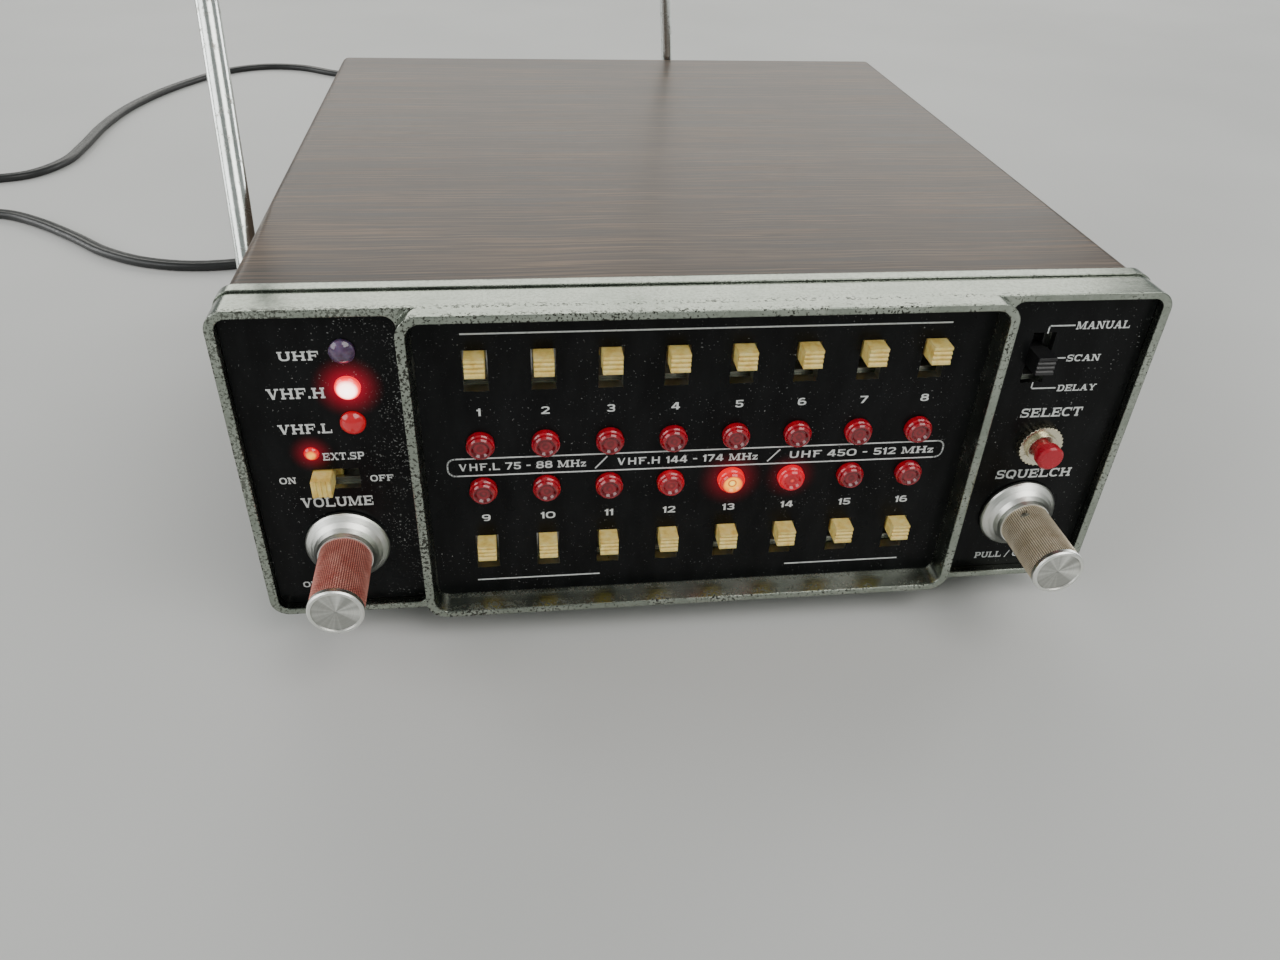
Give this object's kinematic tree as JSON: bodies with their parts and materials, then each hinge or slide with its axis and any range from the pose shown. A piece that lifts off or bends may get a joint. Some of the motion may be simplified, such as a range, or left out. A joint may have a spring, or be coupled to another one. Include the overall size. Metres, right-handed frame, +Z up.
{
  "type": "police scanner",
  "caption": "Desk radio scanner: wood-grain cabinet, chrome bezel with switch and lamp rows, two knobs, slide switches, push-button, telescopic antennas and mains lead.",
  "frame": {"origin": "on the table under the middle of the cabinet, between the four feet", "axes": "+X to the right seen from the front, +Y to the rear, +Z up; the front panel faces -Y"},
  "size_m": [0.4358, 0.5596, 0.2133],
  "materials": {
    "wood_vinyl": "semi-gloss dark brown wood-grain vinyl on steel",
    "chrome_moulding": "worn bright chrome plating",
    "black_panel": "satin black",
    "red_lens": "clear red",
    "band_lamp": "clear red",
    "speaker_lamp": "lit red",
    "cream_plastic": "satin cream",
    "black_plastic": "satin black",
    "red_plastic": "gloss red",
    "nickel_brass": "worn nickel over brass",
    "knob_aluminium": "turned and knurled",
    "zinc_steel": "zinc plated",
    "black_steel": "satin black",
    "socket_metal": "nickel plated",
    "antenna_chrome": "bright, lightly scratched",
    "circuit_board": "green laminate",
    "transformer_iron": "varnished laminations",
    "rubber": "matt black",
    "cord_pvc": "soft black sheath"
  },
  "bodies": {
    "cabinet": {"chassis_tray": "zinc_steel", "rear_panel": "black_steel", "top_cover": "wood_vinyl", "front_bezel": "chrome_moulding", "centre_panel": "black_panel", "left_panel": "black_panel", "right_panel": "black_panel", "upper_lamps": "red_lens", "lower_lamps": "red_lens", "band_lamps": "band_lamp", "speaker_lamp": "speaker_lamp", "channel_switch_frames": "zinc_steel", "speaker_switch_frame": "zinc_steel", "mode_switch_frame": "zinc_steel", "select_bushing": "nickel_brass", "volume_control": "zinc_steel", "squelch_control": "zinc_steel", "main_board": "circuit_board", "display_board": "circuit_board", "crystals": "zinc_steel", "transformer": "transformer_iron", "loudspeaker": "black_plastic", "feet": "rubber", "screws": "black_steel", "rear_sockets": "socket_metal", "cord_bush": "black_plastic", "mains_lead": "cord_pvc", "mains_lead_coil": "cord_pvc", "mains_plug": "black_plastic", "antenna_mounts": "antenna_chrome"},
    "channel_switch_01": {"channel_switch_01": "cream_plastic"},
    "channel_switch_02": {"channel_switch_02": "cream_plastic"},
    "channel_switch_03": {"channel_switch_03": "cream_plastic"},
    "channel_switch_04": {"channel_switch_04": "cream_plastic"},
    "channel_switch_05": {"channel_switch_05": "cream_plastic"},
    "channel_switch_06": {"channel_switch_06": "cream_plastic"},
    "channel_switch_07": {"channel_switch_07": "cream_plastic"},
    "channel_switch_08": {"channel_switch_08": "cream_plastic"},
    "channel_switch_09": {"channel_switch_09": "cream_plastic"},
    "channel_switch_10": {"channel_switch_10": "cream_plastic"},
    "channel_switch_11": {"channel_switch_11": "cream_plastic"},
    "channel_switch_12": {"channel_switch_12": "cream_plastic"},
    "channel_switch_13": {"channel_switch_13": "cream_plastic"},
    "channel_switch_14": {"channel_switch_14": "cream_plastic"},
    "channel_switch_15": {"channel_switch_15": "cream_plastic"},
    "channel_switch_16": {"channel_switch_16": "cream_plastic"},
    "speaker_switch": {"speaker_switch_knob": "cream_plastic"},
    "mode_switch": {"mode_switch_knob": "black_plastic"},
    "select_button": {"select_button": "red_plastic"},
    "volume_knob": {"volume_knob": "knob_aluminium"},
    "squelch_shaft": {"squelch_shaft": "zinc_steel"},
    "squelch_knob": {"squelch_knob": "knob_aluminium"},
    "side_antenna_swivel": {"side_antenna_swivel": "antenna_chrome"},
    "side_antenna_tube": {"side_antenna_tube": "antenna_chrome"},
    "side_antenna_middle": {"side_antenna_middle": "antenna_chrome"},
    "side_antenna_tip": {"side_antenna_tip": "antenna_chrome"},
    "rear_antenna_swivel": {"rear_antenna_swivel": "antenna_chrome"},
    "rear_antenna_tube": {"rear_antenna_tube": "antenna_chrome"},
    "rear_antenna_tip": {"rear_antenna_tip": "antenna_chrome"}
  },
  "joints": [
    {"name": "channel_switch_01_slide", "type": "slide", "parent": "cabinet", "child": "channel_switch_01", "axis": [0, 0, -1], "range_m": [0, 0.005]},
    {"name": "channel_switch_02_slide", "type": "slide", "parent": "cabinet", "child": "channel_switch_02", "axis": [0, 0, -1], "range_m": [0, 0.005]},
    {"name": "channel_switch_03_slide", "type": "slide", "parent": "cabinet", "child": "channel_switch_03", "axis": [0, 0, -1], "range_m": [0, 0.005]},
    {"name": "channel_switch_04_slide", "type": "slide", "parent": "cabinet", "child": "channel_switch_04", "axis": [0, 0, -1], "range_m": [0, 0.005]},
    {"name": "channel_switch_05_slide", "type": "slide", "parent": "cabinet", "child": "channel_switch_05", "axis": [0, 0, -1], "range_m": [0, 0.005]},
    {"name": "channel_switch_06_slide", "type": "slide", "parent": "cabinet", "child": "channel_switch_06", "axis": [0, 0, -1], "range_m": [0, 0.005]},
    {"name": "channel_switch_07_slide", "type": "slide", "parent": "cabinet", "child": "channel_switch_07", "axis": [0, 0, -1], "range_m": [0, 0.005]},
    {"name": "channel_switch_08_slide", "type": "slide", "parent": "cabinet", "child": "channel_switch_08", "axis": [0, 0, -1], "range_m": [0, 0.005]},
    {"name": "channel_switch_09_slide", "type": "slide", "parent": "cabinet", "child": "channel_switch_09", "axis": [0, 0, -1], "range_m": [0, 0.005]},
    {"name": "channel_switch_10_slide", "type": "slide", "parent": "cabinet", "child": "channel_switch_10", "axis": [0, 0, -1], "range_m": [0, 0.005]},
    {"name": "channel_switch_11_slide", "type": "slide", "parent": "cabinet", "child": "channel_switch_11", "axis": [0, 0, -1], "range_m": [0, 0.005]},
    {"name": "channel_switch_12_slide", "type": "slide", "parent": "cabinet", "child": "channel_switch_12", "axis": [0, 0, -1], "range_m": [0, 0.005]},
    {"name": "channel_switch_13_slide", "type": "slide", "parent": "cabinet", "child": "channel_switch_13", "axis": [0, 0, -1], "range_m": [0, 0.005]},
    {"name": "channel_switch_14_slide", "type": "slide", "parent": "cabinet", "child": "channel_switch_14", "axis": [0, 0, -1], "range_m": [0, 0.005]},
    {"name": "channel_switch_15_slide", "type": "slide", "parent": "cabinet", "child": "channel_switch_15", "axis": [0, 0, -1], "range_m": [0, 0.005]},
    {"name": "channel_switch_16_slide", "type": "slide", "parent": "cabinet", "child": "channel_switch_16", "axis": [0, 0, -1], "range_m": [0, 0.005]},
    {"name": "speaker_switch_slide", "type": "slide", "parent": "cabinet", "child": "speaker_switch", "axis": [1, 0, 0], "range_m": [0, 0.0053]},
    {"name": "mode_switch_slide", "type": "slide", "parent": "cabinet", "child": "mode_switch", "axis": [0, 0, 1], "range_m": [-0.0039, 0.0039]},
    {"name": "select_button_press", "type": "slide", "parent": "cabinet", "child": "select_button", "axis": [0, 1, 0], "range_m": [0, 0.0015], "stiffness_N_per_m": 300},
    {"name": "volume_turn", "type": "hinge", "parent": "cabinet", "child": "volume_knob", "pos_m": [-0.0775, -0.1065, 0.02655], "axis": [0, -1, 0], "range_deg": [-200, 100]},
    {"name": "squelch_pull", "type": "slide", "parent": "cabinet", "child": "squelch_shaft", "axis": [0, -1, 0], "range_m": [0, 0.004]},
    {"name": "squelch_turn", "type": "hinge", "parent": "squelch_shaft", "child": "squelch_knob", "pos_m": [0.0775, -0.1065, 0.02655], "axis": [0, -1, 0], "range_deg": [-150, 150]},
    {"name": "side_antenna_turn", "type": "hinge", "parent": "cabinet", "child": "side_antenna_swivel", "pos_m": [-0.1017, -0.0437, 0.05], "axis": [1, 0, 0], "range_deg": [-60, 90]},
    {"name": "side_antenna_tilt", "type": "hinge", "parent": "side_antenna_swivel", "child": "side_antenna_tube", "pos_m": [-0.1017, -0.0437, 0.05], "axis": [0, 0.8729, -0.4879], "range_deg": [-60, 4]},
    {"name": "side_antenna_middle_slide", "type": "slide", "parent": "side_antenna_tube", "child": "side_antenna_middle", "axis": [-0.0819, 0.4862, 0.87], "range_m": [0, 0.13]},
    {"name": "side_antenna_tip_slide", "type": "slide", "parent": "side_antenna_middle", "child": "side_antenna_tip", "axis": [-0.0819, 0.4862, 0.87], "range_m": [0, 0.13]},
    {"name": "rear_antenna_turn", "type": "hinge", "parent": "cabinet", "child": "rear_antenna_swivel", "pos_m": [0.0214, 0.1068, 0.06], "axis": [0, 1, 0], "range_deg": [-80, 85]},
    {"name": "rear_antenna_tilt", "type": "hinge", "parent": "rear_antenna_swivel", "child": "rear_antenna_tube", "pos_m": [0.0214, 0.1068, 0.06], "axis": [0.9968, 0, 0.0802], "range_deg": [-60, 0]},
    {"name": "rear_antenna_tip_slide", "type": "slide", "parent": "rear_antenna_tube", "child": "rear_antenna_tip", "axis": [-0.0802, 0, 0.9968], "range_m": [0, 0.12]}
  ]
}
